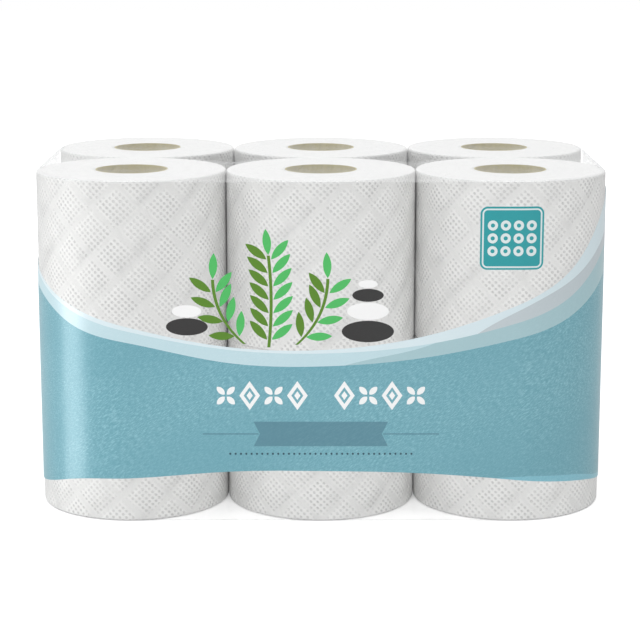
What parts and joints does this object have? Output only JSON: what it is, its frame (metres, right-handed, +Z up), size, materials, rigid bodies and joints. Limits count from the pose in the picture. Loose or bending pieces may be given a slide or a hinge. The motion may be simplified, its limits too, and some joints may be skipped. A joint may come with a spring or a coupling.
{
  "type": "toilet paper roll pack",
  "caption": "Film-wrapped block of upright toilet paper rolls in rows and layers, with open card cores, embossed paper and a printed wave band round the sides.",
  "frame": {"origin": "middle of the pack's underside, where it stands", "axes": "+X along the row of three columns, to the right seen from the front; -Y is the printed front; +Z up, along the roll cores"},
  "size_m": [0.3394, 0.2264, 0.2008],
  "materials": {
    "tissue": "soft, embossed with fine dots in quilted diamonds",
    "core_board": "plain grey-brown board",
    "film": "clear thin film, glossy",
    "ink_blue": "print under gloss film",
    "ink_hem": "print under gloss film",
    "ink_stripe_light": "print under gloss film",
    "ink_stripe_teal": "print under gloss film",
    "ink_stripe_pale": "print under gloss film",
    "ink_stripe_grey": "print under gloss film",
    "ink_teal": "print under gloss film",
    "ink_white": "print under gloss film",
    "ink_ribbon": "print under gloss film",
    "ink_slate": "print under gloss film",
    "ink_leaf_dark": "print under gloss film",
    "ink_leaf_light": "print under gloss film",
    "ink_charcoal": "print under gloss film"
  },
  "bodies": {
    "root": {"core_bottom_back_left": "core_board", "core_bottom_back_middle": "core_board", "core_bottom_back_right": "core_board", "core_bottom_front_left": "core_board", "core_bottom_front_middle": "core_board", "core_bottom_front_right": "core_board", "core_top_back_left": "core_board", "core_top_back_middle": "core_board", "core_top_back_right": "core_board", "core_top_front_left": "core_board", "core_top_front_middle": "core_board", "core_top_front_right": "core_board", "film_wrap": "film", "print_badge": "ink_teal", "print_badge_marks": "ink_white", "print_band_blue": "ink_blue", "print_band_hem": "ink_hem", "print_dots": "ink_slate", "print_figures": "ink_white", "print_leaves_dark": "ink_leaf_dark", "print_leaves_light": "ink_leaf_light", "print_pebbles_dark": "ink_charcoal", "print_pebbles_white": "ink_white", "print_ribbon": "ink_ribbon", "print_stripe_grey": "ink_stripe_grey", "print_stripe_light": "ink_stripe_light", "print_stripe_pale": "ink_stripe_pale", "print_stripe_teal": "ink_stripe_teal", "roll_bottom_back_left": "tissue", "roll_bottom_back_middle": "tissue", "roll_bottom_back_right": "tissue", "roll_bottom_front_left": "tissue", "roll_bottom_front_middle": "tissue", "roll_bottom_front_right": "tissue", "roll_top_back_left": "tissue", "roll_top_back_middle": "tissue", "roll_top_back_right": "tissue", "roll_top_front_left": "tissue", "roll_top_front_middle": "tissue", "roll_top_front_right": "tissue"}
  },
  "joints": []
}
